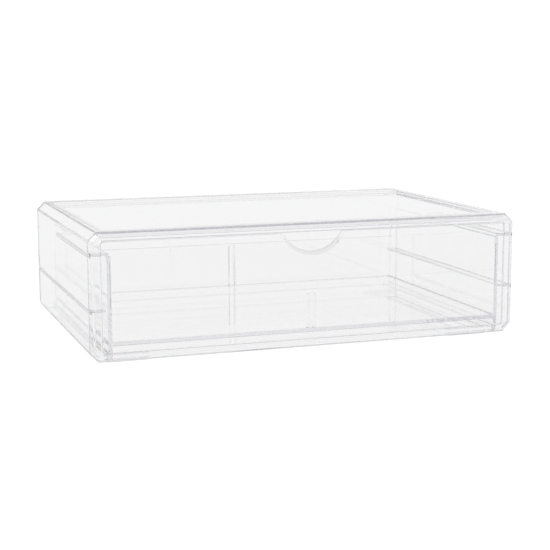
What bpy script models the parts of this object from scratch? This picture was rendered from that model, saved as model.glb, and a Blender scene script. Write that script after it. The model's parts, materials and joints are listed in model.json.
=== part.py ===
"""Clear stackable desk organizer: a chamfered casing and one sliding drawer with a finger notch.

The casing stands on four stacking feet. Its top panel is dished, so that the feet of a second
unit sit inside the rim. The drawer slides out along -Y between two pairs of guides.
Sizes below are in millimetres. Heights are measured from the underside of the casing.
"""
import math

import bmesh
import bpy

MM = 0.001
GAP = 0.3            # face-to-face gap left between two pieces that touch

# Casing
CASE_WIDTH = 406.0
CASE_DEPTH = 262.0
CASE_HEIGHT = 113.4
WALL = 3.0
EDGE_CHAMFER = 8.0
FRONT_BEVEL = 4.25
FRAME_DEPTH = 16.0
FRAME_FLANGE = 3.0       # thickness of the frame's front face
FRAME_LEDGE = 5.5        # width of the flange hidden behind the bevel
OPENING_HALF_WIDTH = 192.4
OPENING_BOTTOM = 8.0
OPENING_TOP = 105.4
OPENING_CORNER = 1.5

# Dished top panel
RIM_SIDE = 16.4
RIM_FRONT = 20.0
RIM_REAR = 28.0
RECESS_DEPTH = 2.5
RECESS_RADIUS = 5.0

# Stacking feet
FOOT_LENGTH = 40.0
FOOT_WIDTH = 12.0
FOOT_HEIGHT = 4.5
FOOT_TAPER = 0.8
FOOT_CLEARANCE = 0.8

# Guides and runners
GUIDE_THICKNESS = 2.2
UPPER_GUIDE_LENGTH = 150.0
UPPER_GUIDE_UNDERSIDE = 92.6
UPPER_GUIDE_INNER = 184.6
LOWER_GUIDE_UNDERSIDE = 43.9
LOWER_GUIDE_INNER = 188.0
RUNNER_WIDTH = 4.0

# Drawer
RUNNING_GAP = 0.5
DRAWER_OUTER = 186.6
DRAWER_WALL = 3.0
DRAWER_WALL_TOP = 92.0
DRAWER_FLOOR_TOP = 17.3
DRAWER_REAR = 117.0
DRAWER_REAR_TOP = 62.0
NOTCH_RADIUS = 31.0
NOTCH_DEPTH = 17.0
NOTCH_SEGMENTS = 32
RIB_SPACING = 6.0
RIB_THICKNESS = 1.6
RIB_REACH = 4.5
FRONT_RIB_TOP = 49.0
REAR_RIB_TOP = 60.0

# Levels worked out from the driving dimensions
FRONT_Y = -CASE_DEPTH / 2
REAR_Y = CASE_DEPTH / 2
FRAME_REAR_Y = FRONT_Y + FRAME_DEPTH
SHELL_FRONT_Y = FRAME_REAR_Y + GAP
SHELL_REAR_Y = REAR_Y - WALL - GAP
HALF_WIDTH = CASE_WIDTH / 2
CASE_INNER = HALF_WIDTH - WALL
DRAWER_UNDERSIDE = OPENING_BOTTOM + RUNNING_GAP
DRAWER_FRONT_REAR_Y = FRONT_Y + DRAWER_WALL

CLEAR = (0.93, 0.95, 0.96, 1.0)
CLEAR_DRAWER = (0.95, 0.96, 0.96, 1.0)
FROSTED = (0.90, 0.92, 0.93, 1.0)


def clear_scene():
    for old in list(bpy.data.objects):
        bpy.data.objects.remove(old, do_unlink=True)


def plastic(name, colour, roughness):
    """Clear moulded plastic, one material for each piece."""
    material = bpy.data.materials.new(name)
    material.use_nodes = True
    shader = material.node_tree.nodes["Principled BSDF"]
    shader.inputs["Base Color"].default_value = colour
    shader.inputs["Roughness"].default_value = roughness
    shader.inputs["Metallic"].default_value = 0.0
    shader.inputs["IOR"].default_value = 1.57
    shader.inputs["Transmission Weight"].default_value = 0.9
    return material


def empty(name, location, parent=None):
    holder = bpy.data.objects.new(name, None)
    bpy.context.collection.objects.link(holder)
    holder.parent = parent
    holder.location = [value * MM for value in location]
    return holder


def piece(name, shape, location, parent, colour=CLEAR, roughness=0.06):
    """Turns a bmesh in millimetres into a named object at a place in its parent's frame."""
    bmesh.ops.recalc_face_normals(shape, faces=shape.faces)
    bmesh.ops.scale(shape, vec=(MM, MM, MM), verts=shape.verts)
    mesh = bpy.data.meshes.new(name)
    shape.to_mesh(mesh)
    shape.free()
    made = bpy.data.objects.new(name, mesh)
    made.data.materials.append(plastic(name, colour, roughness))
    bpy.context.collection.objects.link(made)
    made.parent = parent
    made.location = [value * MM for value in location]
    return made


def loft(loops, ring=False):
    """Joins loops of equal length with quads: capped at both ends, or closed on itself as a ring."""
    shape = bmesh.new()
    rows = [[shape.verts.new(point) for point in loop] for loop in loops]
    pairs = list(zip(rows, rows[1:]))
    if ring:
        pairs.append((rows[-1], rows[0]))
    else:
        shape.faces.new(rows[0])
        shape.faces.new(rows[-1])
    for row, following in pairs:
        for here in range(len(row)):
            after = (here + 1) % len(row)
            shape.faces.new((row[here], row[after], following[after], following[here]))
    return shape


def block(width, depth, height):
    """A box centred on its origin in X and Y, and standing on it in Z."""
    half_w, half_d = width / 2, depth / 2
    corners = [(-half_w, -half_d), (half_w, -half_d), (half_w, half_d), (-half_w, half_d)]
    return loft([[(x, y, z) for x, y in corners] for z in (0.0, height)])


def prism_y(outline, length):
    """An outline of (x, z) points, extruded from Y = 0 to Y = length."""
    return loft([[(x, y, z) for x, z in outline] for y in (0.0, length)])


def prism_z(outline, height):
    """An outline of (x, y) points, extruded from Z = 0 to Z = height."""
    return loft([[(x, y, z) for x, y in outline] for z in (0.0, height)])


def octagon(half_width, low, high, cut):
    """A rectangle from low to high with its four corners cut at 45 degrees."""
    return [
        (-half_width + cut, low), (half_width - cut, low),
        (half_width, low + cut), (half_width, high - cut),
        (half_width - cut, high), (-half_width + cut, high),
        (-half_width, high - cut), (-half_width, low + cut),
    ]


def inset_octagon(inset):
    """The casing's outline, moved inwards by the same distance all round."""
    cut = EDGE_CHAMFER - inset * (2 - math.sqrt(2))
    return octagon(HALF_WIDTH - inset, inset, CASE_HEIGHT - inset, cut)


def rounded_rectangle(half_width, front, rear, radius, steps=8):
    """A rectangle in plan with round corners, going anticlockwise from its front right corner."""
    centres = [(half_width - radius, front + radius, -90), (half_width - radius, rear - radius, 0),
               (-half_width + radius, rear - radius, 90), (-half_width + radius, front + radius, 180)]
    outline = []
    for x, y, start in centres:
        for step in range(steps + 1):
            angle = math.radians(start + 90 * step / steps)
            outline.append((x + radius * math.cos(angle), y + radius * math.sin(angle)))
    return outline


def combine(target, tool, operation):
    """Applies one exact Boolean to target, then removes the tool object."""
    modifier = target.modifiers.new(operation.lower(), "BOOLEAN")
    modifier.operation = operation
    modifier.solver = "EXACT"
    modifier.object = tool
    bpy.context.view_layer.update()
    evaluated = target.evaluated_get(bpy.context.evaluated_depsgraph_get())
    joined = bpy.data.meshes.new_from_object(evaluated)
    joined.name = target.name
    target.modifiers.clear()
    target.data = joined
    bpy.data.objects.remove(tool, do_unlink=True)


def case_cap(sign):
    """Section of the top (sign 1) or base (sign -1) panel: a flat strip with a sloping leg each side."""
    outer_z = CASE_HEIGHT / 2
    flat = HALF_WIDTH - EDGE_CHAMFER
    leg_z = outer_z - EDGE_CHAMFER + GAP
    half = [
        (flat, outer_z),
        (HALF_WIDTH - GAP, leg_z),
        (HALF_WIDTH - GAP - WALL * math.sqrt(2), leg_z),
        (flat - WALL * (math.sqrt(2) - 1), outer_z - WALL),
    ]
    points = half + [(-x, z) for x, z in reversed(half)]
    return [(x, sign * z) for x, z in points]


def make_case_panels(case):
    length = SHELL_REAR_Y - SHELL_FRONT_Y
    middle = (0.0, SHELL_FRONT_Y, CASE_HEIGHT / 2)
    top = piece("case_top_panel", prism_y(case_cap(1), length), middle, case)
    recess_half = HALF_WIDTH - RIM_SIDE
    recess_front, recess_rear = FRONT_Y + RIM_FRONT, REAR_Y - RIM_REAR
    floor_z = CASE_HEIGHT - RECESS_DEPTH
    tray = rounded_rectangle(recess_half + WALL, recess_front - WALL, recess_rear + WALL,
                             RECESS_RADIUS + WALL)
    dish = piece("tray", prism_z(tray, WALL + RECESS_DEPTH / 2), (0.0, 0.0, floor_z - WALL), case)
    combine(top, dish, "UNION")
    hollow = rounded_rectangle(recess_half, recess_front, recess_rear, RECESS_RADIUS)
    cutter = piece("recess", prism_z(hollow, 2 * RECESS_DEPTH), (0.0, 0.0, floor_z), case)
    combine(top, cutter, "DIFFERENCE")
    piece("case_base_panel", prism_y(case_cap(-1), length), middle, case)
    side_height = CASE_HEIGHT - 2 * EDGE_CHAMFER
    for side, sign in (("left", -1), ("right", 1)):
        centre_x = sign * (HALF_WIDTH - WALL / 2)
        piece(f"case_{side}_wall", block(WALL, length, side_height),
              (centre_x, (SHELL_FRONT_Y + SHELL_REAR_Y) / 2, EDGE_CHAMFER), case)
    piece("case_back_wall", prism_y(inset_octagon(0.0), WALL), (0.0, REAR_Y - WALL, 0.0), case)


def make_front_frame(case):
    """A moulded bezel: a thin flange round the drawer opening, a bevelled edge and a collar behind it."""
    outer = inset_octagon(0.0)
    face = inset_octagon(FRONT_BEVEL)
    opening = octagon(OPENING_HALF_WIDTH, OPENING_BOTTOM, OPENING_TOP, OPENING_CORNER)
    ledge = inset_octagon(FRAME_LEDGE)
    collar = inset_octagon(WALL)
    sections = [(outer, FRAME_DEPTH), (outer, FRONT_BEVEL), (face, 0.0), (opening, 0.0),
                (opening, FRAME_FLANGE), (ledge, FRAME_FLANGE),
                (collar, FRAME_FLANGE + FRAME_LEDGE - WALL), (collar, FRAME_DEPTH)]
    loops = [[(x, y, z) for x, z in outline] for outline, y in sections]
    piece("front_frame", loft(loops, ring=True), (0.0, FRONT_Y, 0.0), case)


def guide_outline(sign, inner, start, length):
    """Plan of a guide: a bar along the side wall, its front outer corner cut to clear the frame."""
    outer = CASE_INNER - GAP
    corner = FRAME_LEDGE - WALL
    outline = [(inner, start), (outer - corner, start), (outer, start + corner),
               (outer, start + length), (inner, start + length)]
    return [(sign * x, y) for x, y in outline]


def make_guides(case):
    """Upper guides hold the drawer down, lower guides keep it straight, and runners carry it."""
    start = DRAWER_FRONT_REAR_Y + GAP
    levels = (("upper", UPPER_GUIDE_INNER, UPPER_GUIDE_LENGTH, UPPER_GUIDE_UNDERSIDE),
              ("lower", LOWER_GUIDE_INNER, SHELL_REAR_Y - start, LOWER_GUIDE_UNDERSIDE))
    runner_x = DRAWER_OUTER - DRAWER_WALL / 2
    runner_height = OPENING_BOTTOM - WALL - GAP
    for side, sign in (("left", -1), ("right", 1)):
        for level, inner, length, underside in levels:
            outline = guide_outline(sign, inner, start, length)
            piece(f"{level}_guide_{side}", prism_z(outline, GUIDE_THICKNESS), (0.0, 0.0, underside), case)
        runner = block(RUNNER_WIDTH, SHELL_REAR_Y - SHELL_FRONT_Y, runner_height)
        middle_y = (SHELL_FRONT_Y + SHELL_REAR_Y) / 2
        piece(f"base_runner_{side}", runner, (sign * runner_x, middle_y, WALL + GAP), case)


def make_feet(case):
    """Four tapered stacking pads, placed so that they drop inside the recess of a unit below."""
    centre_x = HALF_WIDTH - RIM_SIDE - FOOT_CLEARANCE - FOOT_LENGTH / 2
    rows = (("front", FRONT_Y + RIM_FRONT + FOOT_CLEARANCE + FOOT_WIDTH / 2),
            ("rear", REAR_Y - RIM_REAR - FOOT_CLEARANCE - FOOT_WIDTH / 2))
    for row, y in rows:
        for side, sign in (("left", -1), ("right", 1)):
            loops = []
            for taper, z in ((FOOT_TAPER, -FOOT_HEIGHT), (0.0, -GAP)):
                half_w, half_d = FOOT_LENGTH / 2 - taper, FOOT_WIDTH / 2 - taper
                plan = rounded_rectangle(half_w, -half_d, half_d, FOOT_WIDTH / 4, steps=4)
                loops.append([(x, depth, z) for x, depth in plan])
            piece(f"foot_{row}_{side}", loft(loops), (sign * centre_x, y, 0.0), case, FROSTED, 0.25)


def front_panel_outline():
    """Front panel seen from the front, with a circular notch cut down from its top edge."""
    half = OPENING_HALF_WIDTH - RUNNING_GAP
    bottom, top = DRAWER_UNDERSIDE, OPENING_TOP - RUNNING_GAP
    centre_z = top - NOTCH_DEPTH + NOTCH_RADIUS
    half_angle = math.acos((centre_z - top) / NOTCH_RADIUS)
    notch = []
    for step in range(NOTCH_SEGMENTS + 1):
        angle = half_angle * (1 - 2 * step / NOTCH_SEGMENTS)
        notch.append((NOTCH_RADIUS * math.sin(angle), centre_z - NOTCH_RADIUS * math.cos(angle)))
    corners = octagon(half, bottom, top, OPENING_CORNER)
    return corners[:5] + notch + corners[5:]


def make_drawer(drawer):
    """Front panel, a raised floor held between skirted walls, a low back, and two divider slots."""
    def part(name, shape, location):
        return piece(name, shape, location, drawer, CLEAR_DRAWER, 0.05)

    part("drawer_front", prism_y(front_panel_outline(), DRAWER_WALL), (0.0, FRONT_Y, 0.0))
    start = DRAWER_FRONT_REAR_Y + GAP
    length = DRAWER_REAR - start
    middle = (start + DRAWER_REAR) / 2
    for side, sign in (("left", -1), ("right", 1)):
        centre_x = sign * (DRAWER_OUTER - DRAWER_WALL / 2)
        part(f"drawer_{side}_wall", block(DRAWER_WALL, length, DRAWER_WALL_TOP - DRAWER_UNDERSIDE),
             (centre_x, middle, DRAWER_UNDERSIDE))
    inner_width = 2 * (DRAWER_OUTER - DRAWER_WALL - GAP)
    rear_y = DRAWER_REAR - DRAWER_WALL / 2
    part("drawer_back_wall", block(inner_width, DRAWER_WALL, DRAWER_REAR_TOP - DRAWER_UNDERSIDE),
         (0.0, rear_y, DRAWER_UNDERSIDE))
    floor_rear = DRAWER_REAR - DRAWER_WALL - GAP
    part("drawer_floor", block(inner_width, floor_rear - start, DRAWER_WALL),
         (0.0, (start + floor_rear) / 2, DRAWER_FLOOR_TOP - DRAWER_WALL))
    rib_foot = DRAWER_FLOOR_TOP + GAP
    rib_rows = (("front", start + RIB_REACH / 2, FRONT_RIB_TOP),
                ("back", floor_rear - RIB_REACH / 2, REAR_RIB_TOP))
    for row, y, top in rib_rows:
        for side, sign in (("left", -1), ("right", 1)):
            part(f"divider_rib_{row}_{side}", block(RIB_THICKNESS, RIB_REACH, top - rib_foot),
                 (sign * RIB_SPACING / 2, y, rib_foot))


def build():
    clear_scene()
    organizer = empty("organizer", (0.0, 0.0, 0.0))
    case = empty("case", (0.0, 0.0, FOOT_HEIGHT), organizer)
    drawer = empty("drawer_slide", (0.0, 0.0, 0.0), case)
    make_case_panels(case)
    make_front_frame(case)
    make_guides(case)
    make_feet(case)
    make_drawer(drawer)


build()
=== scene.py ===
import json
import math

import bmesh
import bpy
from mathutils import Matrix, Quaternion, Vector


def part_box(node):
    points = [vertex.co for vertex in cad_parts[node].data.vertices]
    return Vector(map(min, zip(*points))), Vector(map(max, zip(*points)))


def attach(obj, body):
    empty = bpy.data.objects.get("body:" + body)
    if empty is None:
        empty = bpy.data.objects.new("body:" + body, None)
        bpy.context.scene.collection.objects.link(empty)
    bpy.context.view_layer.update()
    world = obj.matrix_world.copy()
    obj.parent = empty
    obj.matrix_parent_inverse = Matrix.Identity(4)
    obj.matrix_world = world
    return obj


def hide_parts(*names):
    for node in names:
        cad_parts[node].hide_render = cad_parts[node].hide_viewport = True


MM = 0.001

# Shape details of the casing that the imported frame's boxes don't give
FRONT_BEVEL = 4.25 * MM
FRAME_FLANGE = 3.0 * MM
FRAME_WEB = 3.0 * MM        # extra depth of solid plastic behind the frame's flange
FRAME_LEDGE = 5.5 * MM      # width of the frame's solid edge behind the bevel
OPENING_CORNER = 1.5 * MM
RUNNING_GAP = 0.5 * MM
STUB_GAP = 2.0 * MM         # from the drawer front's edge to the stubs that carry the guides forwards
RIM_SIDE = 16.4 * MM
RIM_FRONT = 20.0 * MM
RIM_REAR = 28.0 * MM
RECESS_RADIUS = 5.0 * MM
INNER_ROUND = 2.5 * MM      # radius inside the casing at the back wall
GUIDE_ROOT = 0.8 * MM       # height of the sloping fillet under a guide

# Shape details of the drawer
NOTCH_RADIUS = 31.0 * MM
NOTCH_DEPTH = 17.0 * MM
NOTCH_BEVEL = 3.6 * MM
NOTCH_BEVEL_DEPTH = 2.0 * MM
NOTCH_SEGMENTS = 64
TUB_CORNER = 2.0 * MM
COVE = 1.0 * MM             # radius between the drawer's floor and its walls

# Mesh building
FUSE = 1.0 * MM             # how far one moulded-on shape reaches into the next
EDGE_ROUND = 0.6 * MM       # rounding of every moulded edge
EDGE_ANGLE = 25.0           # degrees between two faces above which their edge is rounded
SLIVER = 0.05 * MM          # shortest edge kept after a Boolean
FLAT_ANGLE = 0.5            # degrees below which neighbouring faces count as one plane
ROUND_STEPS = 4             # facets of a small inner radius
TUB_CORNER_STEPS = 6
RECESS_CORNER_STEPS = 12

# Plastic: refractive index, scales of its cloudiness, scuffs and flow waves, and its absorption per metre
IOR = 1.53
CLOUD_SCALE = 9.0
SCUFF_SCALE = 160.0
SCUFF_LEVELS = (0.45, 0.8)  # scuff noise at which roughness starts to rise, and at which it stops
SCUFF_ROUGHNESS = 0.04
WAVE_SCALE = 14.0
WAVE_STRENGTH = 0.01
WAVE_HEIGHT = 0.5 * MM
DEPTH_TINT = (0.85, 0.85, 0.87, 1.0)
DEPTH_DENSITY = 4.5

# Camera, fitted to the casing's edges: angles in degrees, lengths in metres, lens in millimetres
CAMERA_AZIMUTH = -19.25
CAMERA_ELEVATION = 9.37
CAMERA_ROLL = -0.13
CAMERA_DISTANCE = 1.3357
CAMERA_TARGET = (0.0166, 0.0199, 0.0463)
CAMERA_LENS = 86.67
CAMERA_SENSOR = 36.0
CAMERA_REACH = 50.0

# Studio: brightness that the camera sees directly, and brightness that lights the plastic and shows through it
SEEN = 1.02
TABLE = 0.89
SKY = ((0.0, 0.94, 0.94), (0.25, 0.92, 0.92), (0.5, 0.66, 0.69), (0.8, 0.30, 0.34), (1.0, 0.15, 0.19))
TABLE_HALF = 30.0
TABLE_DEPTH = 0.02
TABLE_GREY = (0.06, 0.06, 0.06, 1.0)
SOFTBOX_PLACE = (-1.2, -0.6, 1.6)
SOFTBOX_TARGET = (0.0, 0.0, 0.05)
SOFTBOX_SIZE = 0.8
SOFTBOX_POWER = 4.0
BOUNCES = 128
TRANSPARENT_BOUNCES = 16

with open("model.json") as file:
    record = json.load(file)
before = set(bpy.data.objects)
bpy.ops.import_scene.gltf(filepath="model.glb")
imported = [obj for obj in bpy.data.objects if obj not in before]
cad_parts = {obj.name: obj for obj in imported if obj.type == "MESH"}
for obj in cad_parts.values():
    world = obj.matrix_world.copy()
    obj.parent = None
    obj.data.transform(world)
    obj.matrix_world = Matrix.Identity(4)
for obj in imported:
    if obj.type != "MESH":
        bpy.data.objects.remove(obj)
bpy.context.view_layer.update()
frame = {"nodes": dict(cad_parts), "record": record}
case_low, case_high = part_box("case_back_wall")
front_low, front_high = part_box("front_frame")
side_low, side_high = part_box("case_right_wall")
panel_low, panel_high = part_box("drawer_front")
floor_low, floor_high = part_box("drawer_floor")
left_low, left_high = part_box("drawer_left_wall")
back_low, back_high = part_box("drawer_back_wall")

WALL = side_high.x - side_low.x
CHAMFER = side_low.z - case_low.z
HALF_WIDTH = case_high.x
TRAY_Z = [mount for mount in frame["record"]["mounts"] if mount["name"] == "stacking_tray"][0]["pos_m"][2]


# ---------------------------------------------------------------- shapes

def loft(loops):
    """Joins loops of equal length with quads, and caps both ends."""
    shape = bmesh.new()
    rows = [[shape.verts.new(point) for point in loop] for loop in loops]
    shape.faces.new(rows[0])
    shape.faces.new(rows[-1])
    for row, following in zip(rows, rows[1:]):
        for here in range(len(row)):
            after = (here + 1) % len(row)
            shape.faces.new((row[here], row[after], following[after], following[here]))
    return shape


def prism_y(outline, start, end):
    return loft([[(x, y, z) for x, z in outline] for y in (start, end)])


def prism_z(outline, bottom, top):
    return loft([[(x, y, z) for x, y in outline] for z in (bottom, top)])


def block(low, high):
    plan = [(low[0], low[1]), (high[0], low[1]), (high[0], high[1]), (low[0], high[1])]
    return prism_z(plan, low[2], high[2])


def octagon(half_width, low, high, cut):
    """A rectangle from low to high with its four corners cut at 45 degrees, as (x, z) points."""
    return [
        (-half_width + cut, low), (half_width - cut, low),
        (half_width, low + cut), (half_width, high - cut),
        (half_width - cut, high), (-half_width + cut, high),
        (-half_width, high - cut), (-half_width, low + cut),
    ]


def casing_outline(inset):
    """The casing's outline, moved inwards by the same distance all round."""
    cut = CHAMFER - inset * (2 - math.sqrt(2))
    return octagon(HALF_WIDTH - inset, case_low.z + inset, case_high.z - inset, cut)


def arc(centre_x, centre_y, radius, start, steps):
    """Points of a quarter circle that starts at an angle in degrees and turns anticlockwise."""
    points = []
    for step in range(steps + 1):
        angle = math.radians(start + 90 * step / steps)
        points.append((centre_x + radius * math.cos(angle), centre_y + radius * math.sin(angle)))
    return points


def rounded_rectangle(half_width, front, rear, radius):
    """A rectangle in plan with round corners, going anticlockwise from its front right corner."""
    near, far = front + radius, rear - radius
    outline = []
    for x, y, start in ((half_width - radius, near, -90), (half_width - radius, far, 0),
                        (-half_width + radius, far, 90), (-half_width + radius, near, 180)):
        outline += arc(x, y, radius, start, RECESS_CORNER_STEPS)
    return outline


def tub_plan(half_width, front, rear, radius=TUB_CORNER):
    """A rectangle in plan with its two rear corners rounded."""
    outline = [(-half_width, front), (half_width, front)]
    for x, start in ((half_width - radius, 0), (-half_width + radius, 90)):
        outline += arc(x, rear - radius, radius, start, TUB_CORNER_STEPS)
    return outline


def quarter_turn(radius):
    """(across, along) distances of a concave quarter circle, from its start to its end."""
    angles = [math.radians(90 * step / ROUND_STEPS) for step in range(ROUND_STEPS + 1)]
    return [(radius * (1 - math.cos(angle)), radius * (1 - math.sin(angle))) for angle in angles]


def as_object(name, shape):
    bmesh.ops.recalc_face_normals(shape, faces=shape.faces)
    mesh = bpy.data.meshes.new(name)
    shape.to_mesh(mesh)
    shape.free()
    made = bpy.data.objects.new(name, mesh)
    bpy.context.scene.collection.objects.link(made)
    return made


def combine(target, shape, operation):
    """Adds or cuts one shape with an exact Boolean, and applies it."""
    tool = as_object("tool", shape)
    modifier = target.modifiers.new("combine", "BOOLEAN")
    modifier.operation = operation
    modifier.solver = "EXACT"
    modifier.object = tool
    bpy.context.view_layer.update()
    evaluated = target.evaluated_get(bpy.context.evaluated_depsgraph_get())
    joined = bpy.data.meshes.new_from_object(evaluated)
    target.modifiers.clear()
    target.data = joined
    bpy.data.objects.remove(tool, do_unlink=True)


def add(target, shape):
    combine(target, shape, "UNION")


def cut(target, shape):
    combine(target, shape, "DIFFERENCE")


def clean(made):
    """Merges the slivers that Booleans leave, and joins flat faces that lie in one plane."""
    shape = bmesh.new()
    shape.from_mesh(made.data)
    bmesh.ops.remove_doubles(shape, verts=shape.verts, dist=SLIVER)
    bmesh.ops.dissolve_degenerate(shape, edges=shape.edges, dist=SLIVER)
    bmesh.ops.dissolve_limit(shape, angle_limit=math.radians(FLAT_ANGLE), verts=shape.verts, edges=shape.edges)
    loose = [edge for edge in shape.edges if not edge.link_faces]
    bmesh.ops.delete(shape, geom=loose, context="EDGES")
    shape.to_mesh(made.data)
    shape.free()


def soften(made):
    """Rounds every hard edge a little, as a mould does, and keeps the flat faces flat."""
    clean(made)
    for polygon in made.data.polygons:
        polygon.use_smooth = True
    bevel = made.modifiers.new("edges", "BEVEL")
    bevel.width = EDGE_ROUND
    bevel.segments = 2
    bevel.limit_method = "ANGLE"
    bevel.angle_limit = math.radians(EDGE_ANGLE)
    bevel.use_clamp_overlap = False
    normals = made.modifiers.new("normals", "WEIGHTED_NORMAL")
    normals.mode = "FACE_AREA"
    normals.weight = 100
    normals.keep_sharp = True


# ---------------------------------------------------------------- materials

def noise(tree, place, scale, detail):
    """Noise fixed to the piece, of a scale given per metre."""
    node = tree.nodes.new("ShaderNodeTexNoise")
    node.inputs["Scale"].default_value = scale
    node.inputs["Detail"].default_value = detail
    tree.links.new(place.outputs["Object"], node.inputs["Vector"])
    return node.outputs["Fac"]


def clear_plastic(name, tint, deep_tint, haze):
    """Clear moulded plastic: slight clouding, faint waves, a few scuffs, and a tint that grows with depth."""
    material = bpy.data.materials.new(name)
    material.use_nodes = True
    tree = material.node_tree
    shader = tree.nodes["Principled BSDF"]
    shader.inputs["Transmission Weight"].default_value = 1.0
    shader.inputs["IOR"].default_value = IOR
    shader.inputs["Metallic"].default_value = 0.0
    place = tree.nodes.new("ShaderNodeTexCoord")
    colour = tree.nodes.new("ShaderNodeMix")
    colour.data_type = "RGBA"
    colour.inputs["A"].default_value = (*tint, 1.0)
    colour.inputs["B"].default_value = (*deep_tint, 1.0)
    tree.links.new(noise(tree, place, CLOUD_SCALE, 3.0), colour.inputs["Factor"])
    tree.links.new(colour.outputs["Result"], shader.inputs["Base Color"])
    rough = tree.nodes.new("ShaderNodeMapRange")
    rough.inputs["From Min"].default_value, rough.inputs["From Max"].default_value = SCUFF_LEVELS
    rough.inputs["To Min"].default_value = haze
    rough.inputs["To Max"].default_value = haze + SCUFF_ROUGHNESS
    tree.links.new(noise(tree, place, SCUFF_SCALE, 6.0), rough.inputs["Value"])
    tree.links.new(rough.outputs["Result"], shader.inputs["Roughness"])
    bump = tree.nodes.new("ShaderNodeBump")
    bump.inputs["Strength"].default_value = WAVE_STRENGTH
    bump.inputs["Distance"].default_value = WAVE_HEIGHT
    tree.links.new(noise(tree, place, WAVE_SCALE, 1.0), bump.inputs["Height"])
    tree.links.new(bump.outputs["Normal"], shader.inputs["Normal"])
    depth = tree.nodes.new("ShaderNodeVolumeAbsorption")
    depth.inputs["Color"].default_value = DEPTH_TINT
    depth.inputs["Density"].default_value = DEPTH_DENSITY
    tree.links.new(depth.outputs["Volume"], tree.nodes["Material Output"].inputs["Volume"])
    return material


def paint(made, material):
    made.data.materials.clear()
    made.data.materials.append(material)


# ---------------------------------------------------------------- casing

def make_shell(front, rear, ledge_rear):
    """The hollow chamfered shell, bevelled at its front edge, with a solid web behind the frame's flange."""
    outer = casing_outline(0.0)
    sections = [(casing_outline(FRONT_BEVEL), front), (outer, front + FRONT_BEVEL), (outer, rear)]
    casing = as_object("casing", loft([[(x, y, z) for x, z in outline] for outline, y in sections]))
    hollow = [(FRAME_LEDGE, ledge_rear), (WALL, ledge_rear + FRAME_LEDGE - WALL)]
    hollow += [(WALL + across, rear - WALL - along) for across, along in quarter_turn(INNER_ROUND)]
    cut(casing, loft([[(x, y, z) for x, z in casing_outline(inset)] for inset, y in hollow]))
    return casing


def dish_top(casing, front, rear):
    """Sinks the middle of the top to the height of the stacking tray, and keeps its thickness."""
    half, near, far = HALF_WIDTH - RIM_SIDE, front + RIM_FRONT, rear - RIM_REAR
    dip = case_high.z - TRAY_Z
    tray = rounded_rectangle(half + WALL, near - WALL, far + WALL, RECESS_RADIUS + WALL)
    add(casing, prism_z(tray, TRAY_Z - WALL, TRAY_Z + dip / 2))
    cut(casing, prism_z(rounded_rectangle(half, near, far, RECESS_RADIUS), TRAY_Z, TRAY_Z + 2 * dip))


def guide_section(sign, inner, wall, low, high):
    """Section of a guide: a flat bar with a sloping fillet where it grows out of the side wall."""
    outline = [(inner, low), (wall - GUIDE_ROOT, low), (wall, low - GUIDE_ROOT),
               (wall + FUSE, low - GUIDE_ROOT), (wall + FUSE, high), (inner, high)]
    return [(sign * x, z) for x, z in outline]


def add_guides(casing, front, rear):
    """The four guides: each is a bar along the side wall, and a narrower stub that joins it to the frame."""
    wall = HALF_WIDTH - WALL
    for level in ("upper", "lower"):
        for side, sign in (("left", -1), ("right", 1)):
            low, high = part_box(f"{level}_guide_{side}")
            inner = min(abs(low.x), abs(high.x))
            end = rear - WALL + FUSE if level == "lower" else high.y
            add(casing, prism_y(guide_section(sign, inner, wall, low.z, high.z), low.y, end))
            stub = guide_section(sign, panel_high.x + STUB_GAP, wall, low.z, high.z)
            add(casing, prism_y(stub, front + FRAME_FLANGE - FUSE, low.y + FUSE))


def make_casing(material):
    """The moulded casing: chamfered shell, dished top, bevelled frame round the opening, guides and runners."""
    front, rear = front_low.y, case_high.y
    ledge_rear = front + FRAME_FLANGE + FRAME_WEB
    casing = make_shell(front, rear, ledge_rear)
    dish_top(casing, front, rear)
    opening = octagon(panel_high.x + RUNNING_GAP, panel_low.z - RUNNING_GAP, panel_high.z + RUNNING_GAP,
                      OPENING_CORNER)
    cut(casing, prism_y(opening, front - FUSE, ledge_rear + FUSE / 2))
    add_guides(casing, front, rear)
    for side in ("left", "right"):
        low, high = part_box(f"base_runner_{side}")
        add(casing, block((low.x, front + FRAME_FLANGE - FUSE, low.z - FUSE), (high.x, high.y + FUSE, high.z)))
    soften(casing)
    paint(casing, material)
    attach(casing, "case")
    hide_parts("case_top_panel", "case_base_panel", "case_left_wall", "case_right_wall",
                "case_back_wall", "front_frame", "upper_guide_left", "upper_guide_right",
                "lower_guide_left", "lower_guide_right", "base_runner_left", "base_runner_right")


# ---------------------------------------------------------------- drawer

def front_outline(grow):
    """Front panel's outline, its notch grown by a distance that bevels the notch's lip."""
    top = panel_high.z
    centre_z = top - NOTCH_DEPTH + NOTCH_RADIUS
    radius = NOTCH_RADIUS + grow
    half_angle = math.acos((centre_z - top) / radius)
    notch = []
    for step in range(NOTCH_SEGMENTS + 1):
        angle = half_angle * (1 - 2 * step / NOTCH_SEGMENTS)
        notch.append((radius * math.sin(angle), centre_z - radius * math.cos(angle)))
    corners = octagon(panel_high.x, panel_low.z, top, OPENING_CORNER)
    return corners[:5] + notch + corners[5:]


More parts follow.
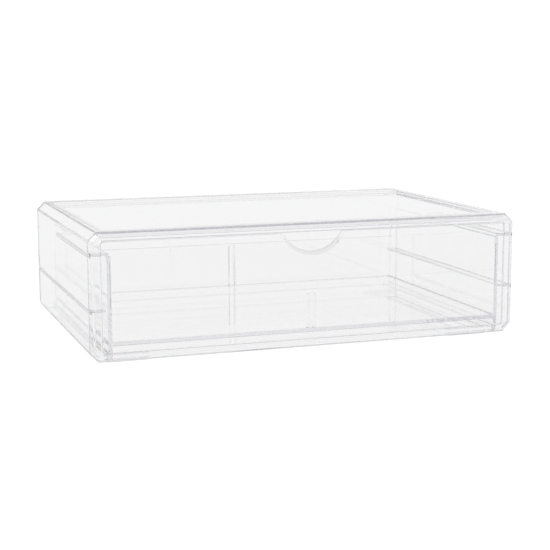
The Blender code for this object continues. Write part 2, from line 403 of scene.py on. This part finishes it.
def make_tub():
    """The drawer without its front panel: raised floor with a coved edge, skirted side walls and a low back."""
    wall = left_high.x - left_low.x
    half, front, rear, top = -left_low.x, panel_high.y, back_high.y, left_high.z
    tub = as_object("tub", prism_z(tub_plan(half, front - FUSE, rear), left_low.z, top))
    inner, open_front, back = half - wall, front - 2 * FUSE, rear - wall
    sections = [(along, floor_high.z + across) for across, along in quarter_turn(COVE)]
    sections.append((0.0, top + wall))
    cut(tub, loft([[(x, y, z) for x, y in tub_plan(inner - inset, open_front, back - inset)]
                   for inset, z in sections]))
    cut(tub, prism_z(tub_plan(inner, open_front, back), left_low.z - wall, floor_low.z))
    cut(tub, block((-half - wall, back - TUB_CORNER, back_high.z), (half + wall, rear + wall, top + wall)))
    shape = bmesh.new()
    shape.from_mesh(tub.data)
    bpy.data.objects.remove(tub, do_unlink=True)
    return shape


def add_ribs(drawer):
    """The two pairs of ribs that hold an optional divider, sunk into the floor and the panel behind them."""
    for side in ("left", "right"):
        low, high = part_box(f"divider_rib_front_{side}")
        add(drawer, block((low.x, low.y - FUSE, low.z - FUSE), high))
    for side in ("left", "right"):
        low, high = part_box(f"divider_rib_back_{side}")
        add(drawer, block((low.x, low.y, low.z - FUSE), (high.x, high.y + FUSE, high.z)))


def make_drawer(material):
    """The moulded drawer: notched front panel, raised floor, skirted walls, low back and divider slots."""
    plain = front_outline(0.0)
    sections = [(front_outline(NOTCH_BEVEL), panel_low.y), (plain, panel_low.y + NOTCH_BEVEL_DEPTH),
                (plain, panel_high.y)]
    drawer = as_object("drawer", loft([[(x, y, z) for x, z in outline] for outline, y in sections]))
    add(drawer, make_tub())
    add_ribs(drawer)
    soften(drawer)
    paint(drawer, material)
    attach(drawer, "drawer")
    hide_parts("drawer_front", "drawer_floor", "drawer_left_wall", "drawer_right_wall",
                "drawer_back_wall", "divider_rib_front_left", "divider_rib_front_right",
                "divider_rib_back_left", "divider_rib_back_right")


# ---------------------------------------------------------------- studio

def make_camera():
    azimuth, elevation = math.radians(CAMERA_AZIMUTH), math.radians(CAMERA_ELEVATION)
    back = Vector((math.sin(azimuth) * math.cos(elevation), -math.cos(azimuth) * math.cos(elevation),
                   math.sin(elevation)))
    data = bpy.data.cameras.new("camera")
    data.lens = CAMERA_LENS
    data.sensor_width = CAMERA_SENSOR
    data.clip_end = CAMERA_REACH
    camera = bpy.data.objects.new("camera", data)
    bpy.context.scene.collection.objects.link(camera)
    camera.location = Vector(CAMERA_TARGET) + back * CAMERA_DISTANCE
    turn = back.to_track_quat("Z", "Y") @ Quaternion((0, 0, 1), math.radians(CAMERA_ROLL))
    camera.rotation_euler = turn.to_euler()
    bpy.context.scene.camera = camera


def camera_sees(tree, seen, lit, output):
    """Gives the camera's own rays one shader and every other ray another, for the stage only."""
    path = tree.nodes.new("ShaderNodeLightPath")
    mix = tree.nodes.new("ShaderNodeMixShader")
    tree.links.new(path.outputs["Is Camera Ray"], mix.inputs[0])
    tree.links.new(lit.outputs[0], mix.inputs[1])
    tree.links.new(seen.outputs[0], mix.inputs[2])
    tree.links.new(mix.outputs[0], output.inputs["Surface"])


def make_floor():
    """A pale light table, lit from within, so that the clear plastic throws hardly any shadow."""
    floor = as_object("floor", block((-TABLE_HALF, -TABLE_HALF, -TABLE_DEPTH), (TABLE_HALF, TABLE_HALF, 0.0)))
    material = bpy.data.materials.new("floor")
    material.use_nodes = True
    tree = material.node_tree
    tree.nodes.clear()
    output = tree.nodes.new("ShaderNodeOutputMaterial")
    shaders = []
    for level in (SEEN, TABLE):
        shader = tree.nodes.new("ShaderNodeBsdfPrincipled")
        shader.inputs["Base Color"].default_value = TABLE_GREY
        shader.inputs["Roughness"].default_value = 0.9
        shader.inputs["Specular IOR Level"].default_value = 0.0
        shader.inputs["Emission Color"].default_value = (1.0, 1.0, 1.0, 1.0)
        shader.inputs["Emission Strength"].default_value = level
        shaders.append(shader)
    camera_sees(tree, shaders[0], shaders[1], output)
    paint(floor, material)


def brightness_ramp(tree, value, levels):
    """A colour ramp through (position, grey, blue) levels, driven by a value."""
    ramp = tree.nodes.new("ShaderNodeValToRGB")
    tree.links.new(value, ramp.inputs["Fac"])
    stops = ramp.color_ramp.elements
    for stop, (position, level, blue) in zip(stops, (levels[0], levels[-1])):
        stop.position = position
        stop.color = (level, level, blue, 1.0)
    for position, level, blue in levels[1:-1]:
        stops.new(position).color = (level, level, blue, 1.0)
    return ramp.outputs["Color"]


def make_world():
    """White at the horizon all round, and darker overhead, which draws the edges of the plastic."""
    world = bpy.data.worlds.new("studio")
    bpy.context.scene.world = world
    world.use_nodes = True
    tree = world.node_tree
    lit = tree.nodes["Background"]
    seen = tree.nodes.new("ShaderNodeBackground")
    seen.inputs["Color"].default_value = (1.0, 1.0, 1.0, 1.0)
    seen.inputs["Strength"].default_value = SEEN
    place = tree.nodes.new("ShaderNodeTexCoord")
    split = tree.nodes.new("ShaderNodeSeparateXYZ")
    tree.links.new(place.outputs["Generated"], split.inputs["Vector"])
    tree.links.new(brightness_ramp(tree, split.outputs["Z"], SKY), lit.inputs["Color"])
    camera_sees(tree, seen, lit, tree.nodes["World Output"])


def make_softbox():
    data = bpy.data.lights.new("softbox", "AREA")
    data.shape = "RECTANGLE"
    data.size, data.size_y = SOFTBOX_SIZE, SOFTBOX_SIZE
    data.energy = SOFTBOX_POWER
    lamp = bpy.data.objects.new("softbox", data)
    bpy.context.scene.collection.objects.link(lamp)
    lamp.location = SOFTBOX_PLACE
    lamp.rotation_euler = (Vector(SOFTBOX_PLACE) - Vector(SOFTBOX_TARGET)).to_track_quat("Z", "Y").to_euler()


def make_studio():
    make_camera()
    make_floor()
    make_world()
    make_softbox()
    scene = bpy.context.scene
    scene.view_settings.view_transform = "Standard"
    scene.cycles.max_bounces = BOUNCES
    scene.cycles.transmission_bounces = BOUNCES
    scene.cycles.glossy_bounces = BOUNCES
    scene.cycles.transparent_max_bounces = TRANSPARENT_BOUNCES


case_plastic = clear_plastic("clear_case", (0.998, 0.998, 0.998), (0.988, 0.988, 0.992), 0.0)
drawer_plastic = clear_plastic("clear_drawer", (0.998, 0.998, 0.996), (0.990, 0.990, 0.990), 0.0)
foot_plastic = clear_plastic("foot_plastic", (0.80, 0.80, 0.81), (0.72, 0.73, 0.74), 0.25)
make_casing(case_plastic)
make_drawer(drawer_plastic)
for node in ("foot_front_left", "foot_front_right", "foot_rear_left", "foot_rear_right"):
    paint(frame["nodes"][node], foot_plastic)
make_studio()
